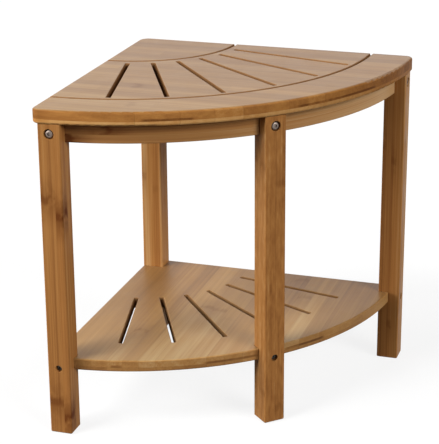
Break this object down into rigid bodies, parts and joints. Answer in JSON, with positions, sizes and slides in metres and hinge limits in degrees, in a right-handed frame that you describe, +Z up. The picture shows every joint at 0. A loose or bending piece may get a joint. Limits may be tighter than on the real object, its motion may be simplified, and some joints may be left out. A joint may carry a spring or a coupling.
{
  "type": "shower stool",
  "caption": "Quarter-round bamboo corner stool for a shower, with a slotted seat, a slotted lower shelf and square legs bolted to rails.",
  "frame": {"origin": "on the floor, under the middle of the square that bounds the seat's plan", "axes": "+Z up; +X along the right-hand wall away from the corner; +Y towards the right-hand wall, so that the wall corner is at -X +Y and the round edge faces +X -Y"},
  "size_m": [0.4058, 0.4058, 0.45],
  "materials": {
    "bamboo_seat": "laminated bamboo, clear satin lacquer",
    "bamboo_shelf": "laminated bamboo, clear satin lacquer",
    "bamboo_leg": "laminated bamboo, clear satin lacquer",
    "bamboo_rail": "laminated bamboo, clear satin lacquer",
    "bolt_steel": "zinc plated",
    "screw_steel": "dark zinc",
    "nut_steel": "zinc plated",
    "dowel_wood": "plain turned wood",
    "pad_rubber": "matte"
  },
  "bodies": {
    "root": {"seat_panel": "bamboo_seat", "shelf_panel": "bamboo_shelf", "left_leg": "bamboo_leg", "back_leg": "bamboo_leg", "right_leg": "bamboo_leg", "front_leg": "bamboo_leg", "curved_apron": "bamboo_rail", "left_side_rail": "bamboo_rail", "right_side_rail": "bamboo_rail", "rail_bolts": "bolt_steel", "front_leg_bolt": "bolt_steel", "shelf_screws": "screw_steel", "seat_screws": "screw_steel", "barrel_nuts": "nut_steel", "front_bolt_insert": "nut_steel", "apron_dowels": "dowel_wood", "left_foot_pad": "pad_rubber", "back_foot_pad": "pad_rubber", "right_foot_pad": "pad_rubber", "front_foot_pad": "pad_rubber"}
  },
  "joints": []
}
